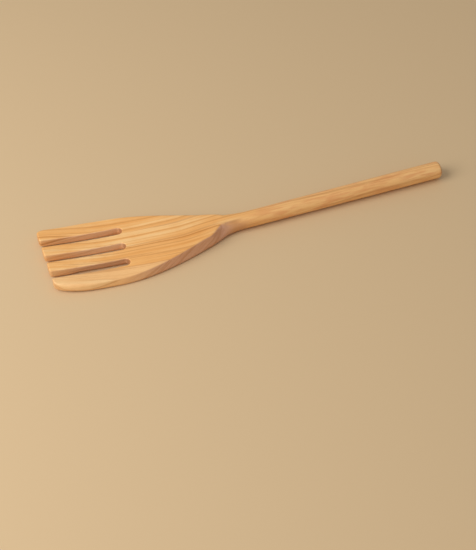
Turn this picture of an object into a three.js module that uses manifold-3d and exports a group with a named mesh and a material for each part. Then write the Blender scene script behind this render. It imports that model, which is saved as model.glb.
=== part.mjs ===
// A wooden serving fork lying face up: tips towards -X, handle end towards +X, +Z up, millimetres.
// One blank of wood, drawn as the zones that a carver names: handle, neck, blade and four tines.
// The zones meet on flat faces square to X, and the underside of the blade is the flat that it rests on.
import * as THREE from "three";
import { mergeVertices } from "three/addons/utils/BufferGeometryUtils.js";
import Module from "manifold-3d";

// Lengths of the zones, from the tips to the end of the handle
const TINE_LENGTH = 51.7;
const BLADE_LENGTH = 52.8;
const NECK_LENGTH = 42.5;
const HANDLE_LENGTH = 153;

// Widths across the head, the taper of its sides where the blade meets the neck, its widest place,
// and how far the sides lean in for each millimetre that they rise
const TIP_WIDTH = 61.5;
const HEAD_WIDTH = 62.3;
const BLADE_REAR_WIDTH = 33.5;
const BLADE_REAR_TAPER = 0.37;
const WIDEST_FROM_TIPS = 43;
const SIDE_LEAN = 0.2;

// Thicknesses, how fast the blade thickens behind the tines, and how far the tips curl up from the table
const TIP_THICKNESS = 6.5;
const TIP_NOSE_RADIUS = 0.8;
const ROOT_THICKNESS = 6.8;
const ROOT_TAPER = 0.05;
const TIP_LIFT = 1.4;

// The handle is round, a little thicker at its far end, with a rounded rim
const HANDLE_NECK_DIAMETER = 12;
const HANDLE_END_DIAMETER = 12.8;
const HANDLE_RIM_RADIUS = 2.4;

// The head is set to one side of the handle's line, from the neck on and most at the tips
const SIDE_SET = 10.3;
const SIDE_SET_LENGTH = 126;
const SIDE_SET_POWER = 1.35;

// Slots and tines
const TINE_COUNT = 4;
const SLOT_WIDTH = 6.4;
const SLOT_SPACING = 15.5;
const TINE_CORNER_RADIUS = 1.2;

// Rounded outer corners of the first and the last tine, each longer along the tine than it is wide
const FIRST_CORNER_LENGTH = 9;
const FIRST_CORNER_WIDTH = 4.6;
const LAST_CORNER_LENGTH = 28;
const LAST_CORNER_WIDTH = 8.6;

// Rounding of the long edges, the stretch of the neck in which it grows to the handle's round,
// and the narrow flat that is left between two rounded corners
const EDGE_RADIUS = 1;
const NECK_ROUNDING_LENGTH = 25;
const NECK_ROUNDING_POWER = 2;
const LEAST_FLAT = 0.24;

// Fineness of the facets
const CORNER_STEPS = 6;
const ARC_STEPS = 6;
const STATION_SPACING = 6;
const SLOT_END_SIDES = 24;
const LEAST_STEP = 0.15;

// Places along X before the fork is centred, with the tips at 0
const ROOT = TINE_LENGTH;
const REAR = ROOT + BLADE_LENGTH;
const GRIP = REAR + NECK_LENGTH;
const END = GRIP + HANDLE_LENGTH;

// Cuts through the head reach this far above and below the table, well past its top
const CUT_REACH = HANDLE_NECK_DIAMETER + TIP_LIFT;

const wasm = await Module();
wasm.setup();

// A cubic through two places, with the slope given at each
function curve(x, from, to) {
  const span = to.x - from.x;
  const t = (x - from.x) / span;
  const rise = t * t * (3 - 2 * t);
  const leave = t * (1 - t) * (1 - t) * span * from.slope;
  const arrive = t * t * (t - 1) * span * to.slope;
  return from.value + (to.value - from.value) * rise + leave + arrive;
}

// How far a quarter-round corner of this radius draws a side in, at a distance from the end that it rounds
function drawnIn(distance, radius) {
  if (distance >= radius) return 0;
  return radius - Math.sqrt(radius ** 2 - (radius - distance) ** 2);
}

function handleDiameter(x) {
  return HANDLE_NECK_DIAMETER + ((HANDLE_END_DIAMETER - HANDLE_NECK_DIAMETER) * (x - GRIP)) / HANDLE_LENGTH;
}

// Sideways place of the fork's middle line
function middle(x) {
  return SIDE_SET * Math.max(0, 1 - x / SIDE_SET_LENGTH) ** SIDE_SET_POWER;
}

const OUTLINE = {
  tips: { x: 0, value: TIP_WIDTH / 2, slope: (HEAD_WIDTH - TIP_WIDTH) / WIDEST_FROM_TIPS },
  widest: { x: WIDEST_FROM_TIPS, value: HEAD_WIDTH / 2, slope: 0 },
  rear: { x: REAR, value: BLADE_REAR_WIDTH / 2, slope: -BLADE_REAR_TAPER },
  grip: { x: GRIP, value: HANDLE_NECK_DIAMETER / 2, slope: 0 },
};

function halfWidth(x) {
  if (x >= GRIP) return handleDiameter(x) / 2;
  if (x >= REAR) return curve(x, OUTLINE.rear, OUTLINE.grip);
  if (x >= WIDEST_FROM_TIPS) return curve(x, OUTLINE.widest, OUTLINE.rear);
  return curve(x, OUTLINE.tips, OUTLINE.widest);
}

// The outer corners of the tips are limited by the width of their tines
const OUTER_TINE_WIDTH = TIP_WIDTH / 2 - (TINE_COUNT / 2 - 1) * SLOT_SPACING - SLOT_WIDTH / 2;
const CORNER_LIMIT = OUTER_TINE_WIDTH - TINE_CORNER_RADIUS - LEAST_FLAT;

// How far the outer corner of a tip draws its side in: +1 is the side of the first tine, -1 that of the last
function tipCorner(x, side) {
  const length = side > 0 ? FIRST_CORNER_LENGTH : LAST_CORNER_LENGTH;
  const width = Math.min(side > 0 ? FIRST_CORNER_WIDTH : LAST_CORNER_WIDTH, CORNER_LIMIT);
  return drawnIn((x * width) / length, width);
}

const DEPTH = {
  tips: { x: 0, value: TIP_THICKNESS, slope: (ROOT_THICKNESS - TIP_THICKNESS) / TINE_LENGTH },
  root: { x: ROOT, value: ROOT_THICKNESS, slope: ROOT_TAPER },
  grip: { x: GRIP, value: HANDLE_NECK_DIAMETER, slope: 0 },
};

function thickness(x) {
  if (x >= GRIP) return handleDiameter(x);
  if (x >= ROOT) return curve(x, DEPTH.root, DEPTH.grip);
  return curve(x, DEPTH.tips, DEPTH.root);
}

function underside(x) {
  return TIP_LIFT * Math.max(0, (ROOT - x) / ROOT) ** 2;
}

// How round the section is: 0 on the head, growing through the neck to 1 on the handle
function roundness(x) {
  return Math.min(1, Math.max(0, (x - REAR) / NECK_ROUNDING_LENGTH)) ** NECK_ROUNDING_POWER;
}

function edgeRadius(x) {
  return EDGE_RADIUS + (HANDLE_NECK_DIAMETER / 2 - EDGE_RADIUS) * roundness(x);
}

// The sides stand upright at the tips and on the handle, and lean in between
function sideLean(x) {
  return SIDE_LEAN * Math.min(1, x / WIDEST_FROM_TIPS) * (1 - roundness(x));
}

// The section square to X, as a ring of points: a rectangle with leaning sides and rounded corners
function section(x) {
  const rim = drawnIn(END - x, HANDLE_RIM_RADIUS);
  const nose = drawnIn(x, Math.min(TIP_NOSE_RADIUS, TIP_THICKNESS / 3));
  const half = halfWidth(x) - rim;
  const low = underside(x) + rim + nose;
  const high = underside(x) + thickness(x) - rim - nose;
  const limit = Math.min(half, (high - low) / 2);
  const wanted = x > GRIP ? limit : edgeRadius(x);
  const radius = Math.min(wanted, limit - LEAST_FLAT / 2);
  const lean = sideLean(x);
  const tilt = Math.atan(lean);
  const reach = (z, side) => half - tipCorner(x, side) - lean * (z - low) - radius * Math.hypot(1, lean);
  const corners = [
    { side: 1, z: low + radius, from: -Math.PI / 2, to: tilt },
    { side: 1, z: high - radius, from: tilt, to: Math.PI / 2 },
    { side: -1, z: high - radius, from: Math.PI / 2, to: tilt },
    { side: -1, z: low + radius, from: tilt, to: -Math.PI / 2 },
  ];
  return corners.flatMap(({ side, z, from, to }) =>
    Array.from({ length: CORNER_STEPS + 1 }, (_, step) => {
      const angle = from + ((to - from) * step) / CORNER_STEPS;
      const out = reach(z, side) + radius * Math.cos(angle);
      return [x, middle(x) + side * out, z + radius * Math.sin(angle)];
    }),
  );
}

// Even places along X, with both ends
function evenly(from, to) {
  const count = Math.ceil((to - from) / STATION_SPACING);
  return Array.from({ length: count + 1 }, (_, i) => from + ((to - from) * i) / count);
}

// Places along X that follow a quarter-round corner, from the end that it rounds inwards
function roundPlaces(radius) {
  return Array.from({ length: ARC_STEPS }, (_, i) => radius * (1 - Math.cos((Math.PI * i) / (2 * ARC_STEPS))));
}

// A closed skin over a row of sections
function loft(places) {
  const rings = places.map(section);
  const size = rings[0].length;
  const index = [];
  for (let i = 0; i + 1 < rings.length; i++) {
    for (let j = 0; j < size; j++) {
      const here = i * size + j;
      const beside = i * size + ((j + 1) % size);
      index.push(here, beside, here + size, here + size, beside, beside + size);
    }
  }
  const last = (rings.length - 1) * size;
  for (let j = 1; j + 1 < size; j++) {
    index.push(0, j + 1, j);
    index.push(last, last + j, last + j + 1);
  }
  const geometry = new THREE.BufferGeometry();
  geometry.setAttribute("position", new THREE.Float32BufferAttribute(rings.flat(2), 3));
  geometry.setIndex(index);
  return geometry;
}

function solidFrom(geometry) {
  geometry.deleteAttribute("normal");
  geometry.deleteAttribute("uv");
  const merged = mergeVertices(geometry);
  const vertProperties = new Float32Array(merged.attributes.position.array);
  const triVerts = new Uint32Array(merged.index.array);
  return new wasm.Manifold(new wasm.Mesh({ numProp: 3, vertProperties, triVerts }));
}

function geometryFrom(solid) {
  const { vertProperties, triVerts } = solid.getMesh();
  const geometry = new THREE.BufferGeometry();
  geometry.setAttribute("position", new THREE.BufferAttribute(vertProperties, 3));
  geometry.setIndex(new THREE.BufferAttribute(triVerts, 1));
  return geometry;
}

// Offsets of the slots from the middle line, from the +Y side to the -Y side
const SLOT_OFFSETS = Array.from(
  { length: TINE_COUNT - 1 },
  (_, i) => (TINE_COUNT / 2 - 1 - i) * SLOT_SPACING,
);

// The inner ends of the slots lie square to the middle line, so each one reaches past the last
const ROOT_TURN = middle(ROOT) - middle(ROOT + 1);

function handleGeometry() {
  const rim = roundPlaces(HANDLE_RIM_RADIUS).map((inset) => END - inset);
  return loft([...evenly(GRIP, END - HANDLE_RIM_RADIUS), ...rim.reverse()]);
}

function neckGeometry() {
  const places = evenly(REAR, GRIP);
  const halfway = places.slice(1).map((x, i) => (x + places[i]) / 2);
  return loft([...places, ...halfway].sort((a, b) => a - b));
}

// A slot's round cut, at a place along it
function slotRound(x, offset) {
  const cut = new THREE.CylinderGeometry(SLOT_WIDTH / 2, SLOT_WIDTH / 2, 2 * CUT_REACH, SLOT_END_SIDES);
  cut.rotateX(Math.PI / 2);
  cut.translate(x, middle(x) + offset, 0);
  return solidFrom(cut);
}

// The blade, with the round inner end of each slot cut into its front face
function bladeGeometry() {
  const last = SLOT_OFFSETS[SLOT_OFFSETS.length - 1];
  const blank = solidFrom(loft(evenly(ROOT, REAR)));
  const ends = SLOT_OFFSETS.map((offset) => {
    const inner = ROOT + ROOT_TURN * (offset - last);
    return wasm.Manifold.hull([slotRound(ROOT, offset), slotRound(inner, offset)]);
  });
  return geometryFrom(ends.reduce((solid, end) => solid.subtract(end), blank));
}

// Places that follow the tip's nose and its corners, in order and without steps that are too short
const CORNER_END = Math.max(FIRST_CORNER_LENGTH, LAST_CORNER_LENGTH);
const TIP_PLACES = [TIP_NOSE_RADIUS, FIRST_CORNER_LENGTH, LAST_CORNER_LENGTH]
  .flatMap(roundPlaces)
  .sort((a, b) => a - b)
  .reduce((kept, x) => (kept.length > 0 && x - kept[kept.length - 1] < LEAST_STEP ? kept : [...kept, x]), [])
  .filter((x) => x < CORNER_END - LEAST_STEP);
const TINE_PLACES = [...TIP_PLACES, ...evenly(CORNER_END, TINE_LENGTH)];

// Plan of one tine between its two slots, with rounded tip corners. An outer side lies past the plank's edge.
function tinePlan(offset, isFirst, isLast) {
  const half = (SLOT_SPACING - SLOT_WIDTH) / 2;
  const places = [...TINE_PLACES, TINE_LENGTH + SLOT_WIDTH];
  const side = (sign, isOuter) =>
    places.map((x) => {
      const reach = isOuter ? HEAD_WIDTH : half - drawnIn(x, TINE_CORNER_RADIUS);
      return new THREE.Vector2(x, middle(x) + offset + sign * reach);
    });
  return new THREE.Shape([...side(-1, isLast), ...side(1, isFirst).reverse()]);
}

function tineGeometry(number) {
  const offset = ((TINE_COUNT + 1) / 2 - number) * SLOT_SPACING;
  const plan = tinePlan(offset, number === 1, number === TINE_COUNT);
  const cutter = new THREE.ExtrudeGeometry(plan, { depth: 2 * CUT_REACH, bevelEnabled: false });
  cutter.translate(0, 0, -CUT_REACH);
  return geometryFrom(solidFrom(loft(TINE_PLACES)).intersect(solidFrom(cutter)));
}

// Oiled wood, with its own colour for each zone
function zone(name, geometry, color) {
  const material = new THREE.MeshStandardMaterial({ color, roughness: 0.55, metalness: 0 });
  const mesh = new THREE.Mesh(geometry, material);
  mesh.name = name;
  return mesh;
}

const fork = new THREE.Group();
fork.add(zone("handle", handleGeometry(), 0xdfa868));
fork.add(zone("neck", neckGeometry(), 0xdba462));
fork.add(zone("blade", bladeGeometry(), 0xe6b071));
for (let number = 1; number <= TINE_COUNT; number++) {
  fork.add(zone(`tine_${number}`, tineGeometry(number), 0xe8b67a));
}

// The origin is on the table, under the middle of the fork's box
const box = new THREE.Box3().setFromObject(fork);
const centre = box.getCenter(new THREE.Vector3());
fork.children.forEach((mesh) => mesh.position.set(-centre.x, -centre.y, -box.min.z));

export default fork;
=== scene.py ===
import math

import bpy
import numpy as np
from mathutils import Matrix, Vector


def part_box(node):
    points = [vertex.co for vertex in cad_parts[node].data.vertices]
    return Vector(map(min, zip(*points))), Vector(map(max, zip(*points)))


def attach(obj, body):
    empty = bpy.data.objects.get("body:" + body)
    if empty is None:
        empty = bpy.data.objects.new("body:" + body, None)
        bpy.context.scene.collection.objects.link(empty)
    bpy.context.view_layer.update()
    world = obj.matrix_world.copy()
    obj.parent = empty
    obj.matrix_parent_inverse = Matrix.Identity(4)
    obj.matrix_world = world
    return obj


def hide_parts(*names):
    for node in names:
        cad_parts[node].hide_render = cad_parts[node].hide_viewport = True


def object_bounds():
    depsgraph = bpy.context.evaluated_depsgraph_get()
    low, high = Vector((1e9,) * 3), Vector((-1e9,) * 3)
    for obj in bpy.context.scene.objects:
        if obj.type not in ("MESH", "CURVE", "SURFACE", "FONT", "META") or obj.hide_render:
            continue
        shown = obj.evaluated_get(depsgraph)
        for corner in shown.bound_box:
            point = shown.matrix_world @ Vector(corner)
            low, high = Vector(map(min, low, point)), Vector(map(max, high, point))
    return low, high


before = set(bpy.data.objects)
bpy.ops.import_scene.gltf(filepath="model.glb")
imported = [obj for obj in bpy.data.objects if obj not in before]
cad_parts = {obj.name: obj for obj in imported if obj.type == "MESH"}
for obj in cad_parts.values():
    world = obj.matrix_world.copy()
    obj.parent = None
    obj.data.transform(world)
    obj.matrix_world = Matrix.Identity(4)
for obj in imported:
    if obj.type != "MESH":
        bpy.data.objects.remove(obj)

# A wooden serving fork, carved from one blank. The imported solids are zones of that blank,
# so one smooth skin stands for all of them. Lengths are in metres, in the frame of the solids.
cad_low, cad_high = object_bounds()

# Places along the fork, measured from the tips of the tines
TIPS_X = cad_low.x
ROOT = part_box("blade")[0].x - TIPS_X
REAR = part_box("neck")[0].x - TIPS_X
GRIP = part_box("handle")[0].x - TIPS_X
END = cad_high.x - TIPS_X

# The handle's line
AXIS_Y = (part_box("handle")[0].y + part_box("handle")[1].y) / 2

# Widths and thicknesses, as in the solids
TIP_WIDTH = 0.0615
HEAD_WIDTH = 0.0623
BLADE_REAR_WIDTH = 0.0335
BLADE_REAR_TAPER = 0.37
WIDEST = 0.043
SIDE_LEAN = 0.2
TIP_THICKNESS = 0.0065
ROOT_THICKNESS = 0.0068
ROOT_TAPER = 0.05
TIP_LIFT = 0.0014
HANDLE_NECK_DIAMETER = 0.012
HANDLE_END_DIAMETER = 0.0128
SIDE_SET = 0.0103
SIDE_SET_LENGTH = 0.126
SIDE_SET_POWER = 1.35
SLOT_WIDTH = 0.0064
SLOT_SPACING = 0.0155
SLOT_COUNT = 3

# Rounded corners in plan: the outer ones are longer along their tine than wide,
# and those by the slots are small
FIRST_CORNER_LENGTH = 0.009
FIRST_CORNER_WIDTH = 0.0046
LAST_CORNER_LENGTH = 0.028
LAST_CORNER_WIDTH = 0.0086
TINE_CORNER_RADIUS = 0.0012

# Upper edges: soft by the tips, crisp further on, and sharpest along the slots
SOFT_EDGE = 0.0026
SOFT_UNTIL = 0.010
CRISP_EDGE = 0.0007
CRISP_FROM = 0.036
SLOT_EDGE = 0.0004

# Lower edges, which are roundest along the near slot
LOWER_EDGE = 0.0022
LOWER_SLOT_EDGE = 0.0012
NEAR_SLOT_LOWER_EDGE = 0.0030
NEAR_SLOT_ROUND_FROM = (0.010, 0.022)

# Edges at the very tips, and the length over which they give way to the others
TIP_NOSE_RADIUS = 0.0008
LOWER_NOSE_RADIUS = 0.0012
TIP_EASE = 0.008

# The neck turns from flat to round: below at an even pace, and above late, which leaves a crease
NECK_ROUNDING_LENGTH = 0.025
NECK_ROUNDING_POWER = 2
CREASE_POWER = 5

# The largest radius of an edge as a share of the thickness, on the head and on the handle
FULLEST_ROUND = 0.48
FULL_ROUND = 0.5

# The near side of the neck is cut back: the lean that this adds, where it starts, is greatest and ends,
# and the width beside the middle line over which it sets in
NECK_CUT = 0.45
NECK_CUT_PLACES = (0.114, 0.127, 0.149)
NECK_CUT_EASE = 0.0036

# The rim of the handle's end
RIM_RADIUS = 0.0024

# The skin: the spacing of its vertices, the grid's margin in cells, the step that finds a slope,
# the least length and steepness to divide by, and how often the vertices are evened out and put back
CELL = 0.0007
MARGIN_CELLS = 3
SLOPE_STEP = CELL / 50
LEAST_LENGTH = CELL / 100
LEAST_STEEPNESS = 0.1
SETTLE_ROUNDS = 6
PUT_BACK_ROUNDS = 2


# Shape


def curve(s, start, end):
    """A cubic between two places, each given as (place, value, slope)."""
    span = end[0] - start[0]
    t = (s - start[0]) / span
    rise = t * t * (3 - 2 * t)
    leave = t * (1 - t) ** 2 * span * start[2]
    arrive = t * t * (t - 1) * span * end[2]
    return start[1] + (end[1] - start[1]) * rise + leave + arrive


def ease(value, start, end):
    """0 before start, 1 after end, and smooth between them."""
    t = np.clip((value - start) / (end - start), 0, 1)
    return t * t * (3 - 2 * t)


def rounded_max(a, b, radius):
    """The larger of two distances, with the edge where they meet rounded."""
    corner = np.hypot(np.maximum(a + radius, 0), np.maximum(b + radius, 0))
    return np.minimum(np.maximum(a, b), -radius) + corner


def handle_diameter(s):
    return HANDLE_NECK_DIAMETER + (HANDLE_END_DIAMETER - HANDLE_NECK_DIAMETER) * (s - GRIP) / (END - GRIP)


def middle(s):
    """Sideways place of the fork's middle line: the head is set to one side of the handle's line."""
    return AXIS_Y + SIDE_SET * np.maximum(0, 1 - s / SIDE_SET_LENGTH) ** SIDE_SET_POWER


# How far the head's middle line goes sideways for each step along it, where the slots end
HEAD_TURN = (middle(ROOT - CELL) - middle(ROOT + CELL)) / (2 * CELL)


def half_width(s):
    tips = (0, TIP_WIDTH / 2, (HEAD_WIDTH - TIP_WIDTH) / WIDEST)
    widest = (WIDEST, HEAD_WIDTH / 2, 0)
    rear = (REAR, BLADE_REAR_WIDTH / 2, -BLADE_REAR_TAPER)
    grip = (GRIP, HANDLE_NECK_DIAMETER / 2, 0)
    stretches = [curve(s, tips, widest), curve(s, widest, rear), curve(s, rear, grip)]
    return np.select([s < WIDEST, s < REAR, s < GRIP], stretches, handle_diameter(s) / 2)


def thickness(s):
    tips = (0, TIP_THICKNESS, (ROOT_THICKNESS - TIP_THICKNESS) / ROOT)
    root = (ROOT, ROOT_THICKNESS, ROOT_TAPER)
    grip = (GRIP, HANDLE_NECK_DIAMETER, 0)
    stretches = [curve(s, tips, root), curve(s, root, grip)]
    return np.select([s < ROOT, s < GRIP], stretches, handle_diameter(s))


def underside(s):
    return TIP_LIFT * np.maximum(0, (ROOT - s) / ROOT) ** 2


def side_distance(s, across, height, into_neck):
    """Distance from the outer sides, which lean in as they rise, and more where the neck is cut back."""
    step = CELL / 2
    taper = (half_width(s + step) - half_width(s - step)) / (2 * step)
    lean = SIDE_LEAN * np.clip(s / WIDEST, 0, 1) * (1 - into_neck**NECK_ROUNDING_POWER)
    cut_start, cut_most, cut_end = NECK_CUT_PLACES
    cut = NECK_CUT * ease(s, cut_start, cut_most) * (1 - ease(s, cut_most, cut_end))
    lean = lean + cut * ease(-across, 0, NECK_CUT_EASE)
    return (np.abs(across) - half_width(s) + lean * height) / np.sqrt(1 + taper**2 + lean**2)


def slot_distance(s, across):
    """Distance from the slots' walls, positive in the open."""
    found = np.full_like(across, -HEAD_WIDTH)
    for number in range(SLOT_COUNT):
        offset = (number - (SLOT_COUNT - 1) / 2) * SLOT_SPACING
        past = np.maximum(s - ROOT - HEAD_TURN * number * SLOT_SPACING, 0)
        found = np.maximum(found, SLOT_WIDTH / 2 - np.hypot(past, across - offset))
    return found


def long_corner(side, s, length, width):
    """Distance from a plan whose side and end meet in a rounded corner of this length and width."""
    squeeze = width / length
    end = -s * squeeze
    by_side = np.maximum(side + width, 0)
    by_end = np.maximum(end + width, 0)
    reach = np.hypot(by_side, by_end)
    slope_there = np.hypot(by_side, squeeze * by_end) / np.maximum(reach, LEAST_LENGTH)
    slope_inside = np.where(side > end, 1, squeeze)
    inside = np.minimum(np.maximum(side, end), -width)
    return (inside + reach) / np.where(reach > LEAST_LENGTH, slope_there, slope_inside)


def edge_radius(s, across, deep, above, by_slot, into_neck):
    """Radius of the edge where the sides meet the top or the underside."""
    upper = SOFT_EDGE + (CRISP_EDGE - SOFT_EDGE) * ease(s, SOFT_UNTIL, CRISP_FROM)
    upper = np.where(by_slot, SLOT_EDGE, upper)
    extra = (NEAR_SLOT_LOWER_EDGE - LOWER_SLOT_EDGE) * ease(s, *NEAR_SLOT_ROUND_FROM)
    lower_slot = LOWER_SLOT_EDGE + np.where(across < -SLOT_SPACING / 2, extra, 0)
    lower = np.where(by_slot, lower_slot, LOWER_EDGE)
    edge = np.where(above, upper, lower)
    nose = np.where(above, TIP_NOSE_RADIUS, LOWER_NOSE_RADIUS)
    edge = edge + (nose - edge) * np.clip(1 - s / TIP_EASE, 0, 1)
    rounding = np.where(above, into_neck**CREASE_POWER, into_neck**NECK_ROUNDING_POWER)
    most = FULLEST_ROUND + (FULL_ROUND - FULLEST_ROUND) * rounding
    return np.minimum(edge + (deep / 2 - edge) * rounding, most * deep)


def fork_distance(x, y, z):
    """Distance from the fork's surface, negative inside the wood."""
    s = x - TIPS_X
    across = y - middle(s)
    low = underside(s)
    deep = thickness(s)
    into_neck = np.clip((s - REAR) / NECK_ROUNDING_LENGTH, 0, 1)

    outer = side_distance(s, across, z - low, into_neck)
    slots = slot_distance(s, across)
    by_slot = slots > outer
    first = across > 0
    corner_length = np.where(first, FIRST_CORNER_LENGTH, LAST_CORNER_LENGTH)
    corner_width = np.where(first, FIRST_CORNER_WIDTH, LAST_CORNER_WIDTH)
    outer = long_corner(outer, s, corner_length, corner_width)
    plan = np.maximum(outer, rounded_max(slots, -s, TINE_CORNER_RADIUS))

    depth = np.maximum(low - z, z - low - deep)
    edge = edge_radius(s, across, deep, z > low + deep / 2, by_slot, into_neck)
    body = rounded_max(plan, depth, edge)
    return rounded_max(body, s - END, RIM_RADIUS)


def surface_net(field, start):
    """Vertices and four-sided faces on the zero of a field that is sampled on a grid of cells."""
    sums = np.zeros(field.shape + (3,))
    counts = np.zeros(field.shape)
    rings = []
    for axis in range(3):
        here = np.take(field, range(field.shape[axis] - 1), axis)
        there = np.take(field, range(1, field.shape[axis]), axis)
        edges = np.argwhere((here < 0) != (there < 0))
        place = tuple(edges.T)
        crossing = edges.astype(float)
        crossing[:, axis] += here[place] / (here[place] - there[place])
        ring = []
        for back in ((0, 0), (1, 0), (1, 1), (0, 1)):
            cell = edges.copy()
            cell[:, (axis + 1) % 3] -= back[0]
            cell[:, (axis + 2) % 3] -= back[1]
            np.add.at(sums, tuple(cell.T), crossing)
            np.add.at(counts, tuple(cell.T), 1)
            ring.append(np.ravel_multi_index(tuple(cell.T), field.shape))
        ring = np.stack(ring, 1)
        leaving = here[place] < 0
        ring[~leaving] = ring[~leaving][:, ::-1]
        rings.append(ring)
    used = np.flatnonzero(counts)
    number = np.full(counts.size, -1)
    number[used] = np.arange(len(used))
    vertices = sums.reshape(-1, 3)[used] / counts.reshape(-1)[used][:, None]
    return start + vertices * CELL, number[np.concatenate(rings)]


def slope(points):
    """Direction in which the distance grows, at each point."""
    found = np.empty_like(points)
    for axis in range(3):
        shift = np.zeros(3)
        shift[axis] = SLOPE_STEP
        ahead = fork_distance(*(points + shift).T)
        behind = fork_distance(*(points - shift).T)
        found[:, axis] = (ahead - behind) / (2 * SLOPE_STEP)
    return found


def settle(vertices, faces):
    """Evens the vertices out along the surface and puts each one back on it."""
    ends = np.concatenate([faces[:, [0, 1]], faces[:, [1, 2]], faces[:, [2, 3]], faces[:, [3, 0]]])
    links = np.bincount(ends[:, 0], minlength=len(vertices))[:, None]
    for _ in range(SETTLE_ROUNDS):
        around = np.zeros_like(vertices)
        np.add.at(around, ends[:, 0], vertices[ends[:, 1]])
        vertices = (vertices + around / links) / 2
        for _ in range(PUT_BACK_ROUNDS):
            uphill = slope(vertices)
            steepness = np.maximum((uphill**2).sum(1), LEAST_STEEPNESS)
            vertices = vertices - uphill * (fork_distance(*vertices.T) / steepness)[:, None]
    return vertices


def mesh_piece(name, vertices, faces):
    mesh = bpy.data.meshes.new(name)
    mesh.from_pydata(vertices, [], faces)
    piece = bpy.data.objects.new(name, mesh)
    bpy.context.scene.collection.objects.link(piece)
    return piece


def fork_piece():
    margin = MARGIN_CELLS * CELL
    axes = [np.arange(low - margin, high + margin, CELL) for low, high in zip(cad_low, cad_high)]
    field = fork_distance(*np.meshgrid(*axes, indexing="ij"))
    vertices, faces = surface_net(field, np.array([axis[0] for axis in axes]))
    vertices = settle(vertices, faces)
    piece = mesh_piece("fork", vertices.tolist(), faces.tolist())
    piece.data.shade_smooth()
    return piece


# Materials


def colour(red, green, blue):
    """A display colour from 0 to 255, as the linear colour that the shaders take."""
    linear = [(c / 255 + 0.055) / 1.055 for c in (red, green, blue)]
    return (*[c**2.4 for c in linear], 1)


PALE = colour(249, 200, 134)
HONEY = colour(242, 178, 103)
GOLD = colour(229, 156, 76)
SAPWOOD = colour(246, 202, 146)
RING_BROWN = colour(182, 112, 44)
# Painted shade on the upright sides
SIDE_SHADE = colour(219, 166, 137)
# Painted light on the slot walls
SLOT_LIGHT = colour(244, 202, 168)
# Painted shade on the near slot's wall
SLOT_SHADE = colour(214, 161, 118)
# Painted shade on the neck's sides and facet
NECK_SHADE = colour(203, 145, 94)
ROSE = colour(226, 150, 90)
END_GRAIN = colour(160, 104, 72)

# In the values below, FROM, UNTIL, WITHIN and RANGE hold where a change starts and where it is complete,
# and SHARE is how strong it is then.

# The growth rings cross a section of the blank at a slant, run a little askew along the head,
# and turn at the neck to follow the handle
RING_TILT = 0.9
GRAIN_TURN = 0.095
GRAIN_TURN_SOFTNESS = 0.006
HEAD_SKEW = 0.2114
HANDLE_SKEW = 0.0286

# Each dark line, as its place across the rings and its strength, from the near side to the far side
RINGS = [
    (-0.0430, 0.80),
    (-0.0370, 0.84),
    (-0.0307, 0.96),
    (-0.0245, 0.80),
    (-0.0185, 0.86),
    (-0.0128, 0.96),
    (-0.0093, 0.86),
    (-0.0069, 0.95),
    (-0.0023, 1.00),
    (0.0060, 0.96),
    (0.0139, 0.86),
    (0.0220, 0.90),
]
RING_LOW = -0.050
RING_HIGH = 0.030
RING_DROP = 0.0006
RING_SHARPNESS = 8
RING_SHARE = 0.75

# Lines fade where the surface lies along a ring, by how squarely it faces across the rings
ALONG_RING_RANGE = (0.86, 0.97)

# Noises, each as its turns per metre along X, Y and Z, or along, across and through the grain, and its detail
WAVE_NOISE = ((16, 60, 60), 2)
FRAY_NOISE = ((110, 1300, 1300), 2)
TONE_NOISE = ((14, 90, 40), 2)
STREAK_NOISE = ((9, 420, 60), 3)
FIGURE_NOISE = ((85, 16, 16), 2)
BLUSH_NOISE = ((60, 330, 330), 3)
VEIN_NOISE = ((6, 500, 30), 1)
FIBRE_NOISE = ((45, 2600, 900), 3)
PORE_NOISE = ((260, 4200, 2000), 1)
NOISE_MIDDLE = 0.5

# How far the rings wander
WAVE_SIZE = 0.0030
FRAY_SIZE = 0.0005

# The wood's warmth, from pale over honey to gold: tones, streaks, the body of each ring,
# and a little more of it on the blade than on the tines
TONE_RANGE = (0.35, 0.65)
TONE_SHARE = 0.36
STREAK_RANGE = (0.36, 0.64)
STREAK_SHARE = 0.26
BODY_POWER = 2
BODY_SHARE = 0.3
BLADE_WARM_FROM = (0.04, 0.09)
BLADE_WARMTH = (-0.06, 0.06)
HONEY_RANGE = (0.0, 0.45)
GOLD_RANGE = (0.45, 0.95)
FIGURE_RANGE = (0.45, 0.75)
FIGURE_SHARE = 0.2

# The near edge of the blank is sapwood
SAPWOOD_RANGE = (-0.0313, -0.0307)
SAPWOOD_SHARE = 0.45

# The handle's wood is a little paler than the head's, with a rosy blush
HANDLE_PALE_FROM = (0.13, 0.17)
HANDLE_PALE_SHARE = 0.55
BLUSH_RANGE = (0.42, 0.66)
BLUSH_SHARE = 0.6

# Painted light on the slots' walls, a pale pink that is weaker by the tips, and painted shade, browner, on
# the near slot's wall.
# The walls are found by how squarely they face sideways, and by their places from the head's middle line and
# along the fork.
SIDEWAYS_RANGE = (0.5, 0.8)
SIDEWAYS_SHARE = 0.75
SLOTS_WITHIN = (0.020, 0.024)
SLOTS_UNTIL = (0.055, 0.065)
SLOT_SHARE = 0.7
SLOT_LIGHT_FROM = (0.005, 0.03)
SLOT_LIGHT_AT_TIPS = 0.4
NEAR_SLOT_RANGE = (-0.011, -0.008)
NEAR_SLOT_SHARE = 1.2
NEAR_SLOT_SHADE_FROM = (0.01, 0.03)

# Painted shade: the carved sides are made browner and darker than the top, for the shade on them, from the
# tines until the handle starts. Beside the slots only what lies outside them counts.
UPRIGHT_RANGE = (0.5, 0.8)
UPRIGHT_SHARE = 0.75
SIDES_FROM = (0.035, 0.085)
SIDES_UNTIL = (0.138, 0.152)
OUTSIDE_FROM = (0.018, 0.022)
WHOLE_SIDE_FROM = (0.075, 0.085)
NECK_SHADE_FROM = (0.124, 0.136)
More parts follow.
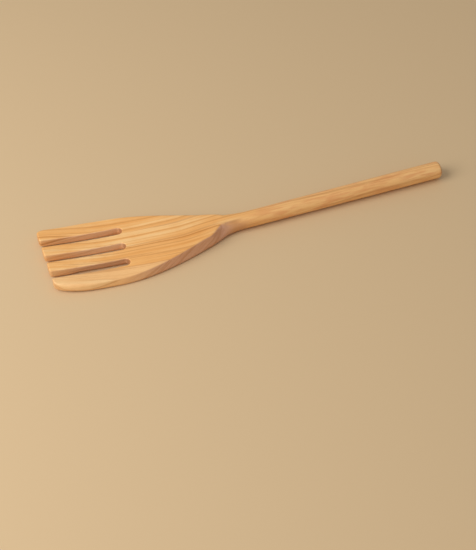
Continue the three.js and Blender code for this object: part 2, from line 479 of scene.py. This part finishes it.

# The neck's cut-back facet, which also takes the painted shade, ends lower and lower past its top and shows
# its lines less
FACET_FROM = (0.114, 0.124)
FACET_TOP = 0.127
FACET_FALL = 30
FACET_RANGE = (0.28, 0.52)
FACET_SHARE = 0.9
FACET_INNER = (-0.0040, -0.0018)
FACET_LINES_RANGE = (0.2, 0.8)
FACET_LINES_SHARE = 0.45

# End grain, weaker at the tips
END_ON_RANGE = (0.35, 0.85)
END_ON_SHARE = 0.75
END_GRAIN_FROM = (0.004, 0.02)
END_GRAIN_AT_TIPS = 0.4

# Veins, fibres and pores, and the sheen and relief that they give
VEIN_RANGE = (0.58, 0.64)
VEIN_SHARE = 0.35
FIBRE_RANGE = (0.4, 0.75)
FIBRE_SHARE = 0.14
PORE_RANGE = (0.62, 0.74)
PORE_SHARE = 0.2
SHEEN_RANGE = (0.3, 0.7)
ROUGHNESS = (0.44, 0.6)
PORE_DEPTH = 0.8
BUMP_STRENGTH = 0.35
BUMP_DISTANCE = 0.00006


class Tree:
    """Short ways to add nodes to a material."""

    def __init__(self, name):
        self.material = bpy.data.materials.new(name)
        self.material.use_nodes = True
        self.nodes = self.material.node_tree.nodes
        self.links = self.material.node_tree.links
        self.shader = self.nodes["Principled BSDF"]

    def put(self, value, socket):
        if isinstance(value, bpy.types.NodeSocket):
            self.links.new(value, socket)
        else:
            socket.default_value = value

    def math(self, operation, a, b=0.0):
        node = self.nodes.new("ShaderNodeMath")
        node.operation = operation
        self.put(a, node.inputs[0])
        self.put(b, node.inputs[1])
        return node.outputs[0]

    def add(self, a, b):
        return self.math("ADD", a, b)

    def subtract(self, a, b):
        return self.math("SUBTRACT", a, b)

    def multiply(self, first, *others):
        for other in others:
            first = self.math("MULTIPLY", first, other)
        return first

    def parts(self, vector):
        """The X, Y and Z of a vector."""
        node = self.nodes.new("ShaderNodeSeparateXYZ")
        self.put(vector, node.inputs[0])
        return node.outputs

    def spread(self, value, low, high, to_low=0.0, to_high=1.0):
        """Takes a value from one range to another, smoothly, and stops at its ends."""
        node = self.nodes.new("ShaderNodeMapRange")
        node.interpolation_type = "SMOOTHSTEP"
        for number, item in enumerate((value, low, high, to_low, to_high)):
            self.put(item, node.inputs[number])
        return node.outputs[0]

    def mix(self, share, a, b):
        """A colour between two. On this node the colours are sockets 6 and 7, and the result is output 2."""
        node = self.nodes.new("ShaderNodeMix")
        node.data_type = "RGBA"
        self.put(share, node.inputs[0])
        self.put(a, node.inputs[6])
        self.put(b, node.inputs[7])
        return node.outputs[2]

    def noise(self, place, scales, detail):
        """Noise that is stretched by its scales, in turns per metre."""
        stretch = self.nodes.new("ShaderNodeVectorMath")
        stretch.operation = "MULTIPLY"
        self.put(place, stretch.inputs[0])
        self.put(scales, stretch.inputs[1])
        node = self.nodes.new("ShaderNodeTexNoise")
        self.put(stretch.outputs[0], node.inputs["Vector"])
        node.inputs["Scale"].default_value = 1.0
        node.inputs["Detail"].default_value = detail
        return node.outputs["Fac"]


class Wood(Tree):
    """Oiled wood, with painted light and shade on its sides and in its slots. Each step takes the colour so
    far and gives it back changed.
    """

    def __init__(self):
        super().__init__("oiled_wood")
        where = self.nodes.new("ShaderNodeTexCoord")
        self.place = where.outputs["Object"]
        self.normal = where.outputs["Normal"]
        self.normal_x, self.normal_y, self.normal_z = self.parts(self.normal)
        self.x, self.y, self.z = self.parts(self.place)
        self.along = self.subtract(self.x, TIPS_X)
        self.from_axis = self.subtract(self.y, AXIS_Y)
        straight = self.add(self.y, self.multiply(self.along, HEAD_TURN))
        self.from_middle = self.subtract(straight, AXIS_Y + SIDE_SET)
        self.off_middle = self.math("ABSOLUTE", self.from_middle)
        self.across = self.ring_place()
        self.grain = self.grain_place()
        self.ramp = self.ring_ramp()
        self.facet = self.neck_facet()
        self.fibre = self.noise(self.grain, *FIBRE_NOISE)
        self.pores = self.spread(self.noise(self.grain, *PORE_NOISE), *PORE_RANGE)

    def sway(self, noise, size):
        """A shift to either side, from a noise."""
        return self.multiply(self.subtract(self.noise(self.place, *noise), NOISE_MIDDLE), size)

    def ring_place(self):
        """Place across the growth rings, with their slant, skew and small waves."""
        past_turn = self.subtract(self.x, TIPS_X + GRAIN_TURN)
        bend = self.math("SQRT", self.add(self.multiply(past_turn, past_turn), GRAIN_TURN_SOFTNESS**2))
        skew = self.multiply(past_turn, (HEAD_SKEW + HANDLE_SKEW) / 2)
        turn = self.multiply(bend, (HANDLE_SKEW - HEAD_SKEW) / 2)
        across = self.subtract(self.from_axis, self.multiply(self.z, RING_TILT))
        across = self.add(across, self.add(skew, turn))
        return self.add(across, self.add(self.sway(WAVE_NOISE, WAVE_SIZE), self.sway(FRAY_NOISE, FRAY_SIZE)))

    def grain_place(self):
        """Coordinates that follow the grain: along it, across it and through it."""
        node = self.nodes.new("ShaderNodeCombineXYZ")
        for item, socket in zip((self.x, self.across, self.add(self.y, self.z)), node.inputs):
            self.put(item, socket)
        return node.outputs[0]

    def ring_ramp(self):
        """From 0 just past a ring's dark line to 1 on the next one."""
        share = self.nodes.new("ShaderNodeMapRange")
        for number, item in enumerate((self.across, RING_LOW, RING_HIGH, 0.0, 1.0)):
            self.put(item, share.inputs[number])
        node = self.nodes.new("ShaderNodeValToRGB")
        stops = node.color_ramp.elements
        stops.remove(stops[1])
        stops[0].position = 0
        stops[0].color = (0, 0, 0, 1)
        for ring, strength in RINGS:
            for at, value in ((ring, strength), (ring + RING_DROP, 0)):
                stop = stops.new((at - RING_LOW) / (RING_HIGH - RING_LOW))
                stop.color = (value, value, value, 1)
        self.put(share.outputs[0], node.inputs[0])
        return node.outputs[0]

    def neck_facet(self):
        """Up to its share on the neck's cut-back facet, and 0 elsewhere."""
        past_top = self.math("MAXIMUM", self.subtract(self.along, FACET_TOP), 0)
        near = self.subtract(self.multiply(self.normal_y, -1), self.multiply(past_top, FACET_FALL))
        facet = self.spread(near, *FACET_RANGE, 0, FACET_SHARE)
        facet = self.multiply(facet, self.spread(self.along, *FACET_FROM))
        return self.multiply(facet, self.spread(self.from_axis, *FACET_INNER, 1, 0))

    def plain(self):
        tone = self.spread(self.noise(self.grain, *TONE_NOISE), *TONE_RANGE)
        streak = self.spread(self.noise(self.grain, *STREAK_NOISE), *STREAK_RANGE)
        body = self.math("POWER", self.ramp, BODY_POWER)
        warmth = self.add(self.multiply(tone, TONE_SHARE), self.multiply(streak, STREAK_SHARE))
        warmth = self.add(warmth, self.multiply(body, BODY_SHARE))
        warmth = self.add(warmth, self.spread(self.along, *BLADE_WARM_FROM, *BLADE_WARMTH))
        wood = self.mix(self.spread(warmth, *HONEY_RANGE), PALE, HONEY)
        wood = self.mix(self.spread(warmth, *GOLD_RANGE), wood, GOLD)
        figure = self.noise(self.place, *FIGURE_NOISE)
        wood = self.mix(self.spread(figure, *FIGURE_RANGE, 0, FIGURE_SHARE), wood, GOLD)
        return self.mix(self.spread(self.across, *SAPWOOD_RANGE, SAPWOOD_SHARE, 0), wood, SAPWOOD)

    def on_handle(self, wood):
        handle = self.spread(self.along, *HANDLE_PALE_FROM)
        wood = self.mix(self.multiply(handle, HANDLE_PALE_SHARE), wood, PALE)
        blush = self.spread(self.noise(self.grain, *BLUSH_NOISE), *BLUSH_RANGE, 0, BLUSH_SHARE)
        return self.mix(self.multiply(handle, blush), wood, ROSE)

    def in_slots(self, wood):
        within = self.spread(self.off_middle, *SLOTS_WITHIN, SLOT_SHARE, 0)
        before = self.spread(self.along, *SLOTS_UNTIL, 1, 0)
        sideways = self.spread(self.math("ABSOLUTE", self.normal_y), *SIDEWAYS_RANGE, 0, SIDEWAYS_SHARE)
        walls = self.multiply(within, before, sideways)
        # Painted light: the slot walls are lit a pale pink
        fade = self.spread(self.along, *SLOT_LIGHT_FROM, SLOT_LIGHT_AT_TIPS, 1)
        wood = self.mix(self.multiply(walls, fade), wood, SLOT_LIGHT)
        # Painted shade: the near slot's wall is made browner
        near = self.spread(self.from_middle, *NEAR_SLOT_RANGE, NEAR_SLOT_SHARE, 0)
        near = self.multiply(near, self.spread(self.along, *NEAR_SLOT_SHADE_FROM))
        return self.mix(self.multiply(walls, near), wood, SLOT_SHADE)

    def shade_sides(self, wood):
        # Painted shade: upright sides and the neck's facet are darkened towards brown, chosen by how they
        # face
        upright = self.spread(self.math("ABSOLUTE", self.normal_z), *UPRIGHT_RANGE, UPRIGHT_SHARE, 0)
        outside = self.spread(self.off_middle, *OUTSIDE_FROM)
        outside = self.multiply(self.spread(self.along, *SIDES_FROM), outside)
        outside = self.math("MAXIMUM", outside, self.spread(self.along, *WHOLE_SIDE_FROM))
        sides = self.math("MAXIMUM", self.multiply(upright, outside), self.facet)
        carved = self.mix(self.spread(self.along, *NECK_SHADE_FROM), SIDE_SHADE, NECK_SHADE)
        return self.mix(self.multiply(sides, self.spread(self.along, *SIDES_UNTIL, 1, 0)), wood, carved)

    def on_ends(self, wood):
        end_on = self.spread(self.math("ABSOLUTE", self.normal_x), *END_ON_RANGE, 0, END_ON_SHARE)
        fade = self.spread(self.along, *END_GRAIN_FROM, END_GRAIN_AT_TIPS, 1)
        return self.mix(self.multiply(end_on, fade), wood, END_GRAIN)

    def with_lines(self, wood):
        facing = self.nodes.new("ShaderNodeVectorMath")
        facing.operation = "DOT_PRODUCT"
        self.put(self.normal, facing.inputs[0])
        self.put(Vector((HEAD_SKEW, 1, -RING_TILT)).normalized(), facing.inputs[1])
        along_ring = self.math("ABSOLUTE", facing.outputs["Value"])
        shown = self.spread(along_ring, *ALONG_RING_RANGE, 1, 0)
        shown = self.multiply(shown, self.spread(self.facet, *FACET_LINES_RANGE, 1, FACET_LINES_SHARE))
        vein = self.spread(self.noise(self.grain, *VEIN_NOISE), *VEIN_RANGE)
        wood = self.mix(self.multiply(vein, shown, VEIN_SHARE), wood, RING_BROWN)
        line = self.math("POWER", self.ramp, RING_SHARPNESS)
        wood = self.mix(self.multiply(line, shown, RING_SHARE), wood, RING_BROWN)
        wood = self.mix(self.spread(self.fibre, *FIBRE_RANGE, 0, FIBRE_SHARE), wood, RING_BROWN)
        return self.mix(self.multiply(self.pores, PORE_SHARE), wood, RING_BROWN)

    def sheen_and_relief(self):
        self.put(self.spread(self.fibre, *SHEEN_RANGE, *ROUGHNESS), self.shader.inputs["Roughness"])
        bump = self.nodes.new("ShaderNodeBump")
        bump.inputs["Strength"].default_value = BUMP_STRENGTH
        bump.inputs["Distance"].default_value = BUMP_DISTANCE
        self.put(self.subtract(self.fibre, self.multiply(self.pores, PORE_DEPTH)), bump.inputs["Height"])
        self.put(bump.outputs[0], self.shader.inputs["Normal"])


def wood_material():
    tree = Wood()
    wood = tree.plain()
    for step in (tree.on_handle, tree.in_slots, tree.shade_sides, tree.on_ends, tree.with_lines):
        wood = step(wood)
    tree.put(wood, tree.shader.inputs["Base Color"])
    tree.sheen_and_relief()
    return tree.material


# Stage, light and camera

FLOOR_COLOUR = colour(214, 184, 142)
FLOOR_ROUGHNESS = 0.9
FLOOR_SIZE = 8.0
FLOOR_DROP = 0.0001


def floor_material():
    tree = Tree("pale_floor")
    tree.put(FLOOR_COLOUR, tree.shader.inputs["Base Color"])
    tree.put(FLOOR_ROUGHNESS, tree.shader.inputs["Roughness"])
    return tree.material


def floor_piece():
    half = FLOOR_SIZE / 2
    level = cad_low.z - FLOOR_DROP
    corners = [(-half, -half, level), (half, -half, level), (half, half, level), (-half, half, level)]
    piece = mesh_piece("floor", corners, [(0, 1, 2, 3)])
    piece.data.materials.append(floor_material())


LAMP_PLACE = Vector((-0.9, -0.1, 0.75))
LAMP_SIZE = 0.8
LAMP_POWER = 10.2
WORLD_LIGHT = 0.45


def light():
    lamp = bpy.data.lights.new("softbox", "AREA")
    lamp.size = LAMP_SIZE
    lamp.energy = LAMP_POWER
    piece = bpy.data.objects.new("softbox", lamp)
    piece.location = LAMP_PLACE
    piece.rotation_euler = (-LAMP_PLACE).to_track_quat("-Z", "Y").to_euler()
    bpy.context.scene.collection.objects.link(piece)
    world = bpy.data.worlds.new("studio")
    world.use_nodes = True
    background = world.node_tree.nodes["Background"]
    background.inputs["Color"].default_value = (1, 1, 1, 1)
    background.inputs["Strength"].default_value = WORLD_LIGHT
    bpy.context.scene.world = world


# The camera's place from the tips, the handle's line and the floor, and the way that it looks
CAMERA_PLACE = Vector((-0.0555, -0.5259, 0.5646))
CAMERA_TURN = math.radians(20.274)
CAMERA_DROP = math.radians(47.656)
LENS = 72.0
SENSOR = 36.0


def camera():
    data = bpy.data.cameras.new("camera")
    data.lens = LENS
    data.sensor_width = SENSOR
    piece = bpy.data.objects.new("camera", data)
    piece.location = Vector((TIPS_X, AXIS_Y, cad_low.z)) + CAMERA_PLACE
    level = math.cos(CAMERA_DROP)
    ahead = Vector((math.sin(CAMERA_TURN) * level, math.cos(CAMERA_TURN) * level, -math.sin(CAMERA_DROP)))
    piece.rotation_euler = ahead.to_track_quat("-Z", "Y").to_euler()
    bpy.context.scene.collection.objects.link(piece)
    bpy.context.scene.camera = piece


fork = fork_piece()
fork.data.materials.append(wood_material())
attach(fork, "root")
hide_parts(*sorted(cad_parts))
floor_piece()
light()
camera()
bpy.context.scene.view_settings.view_transform = "Standard"
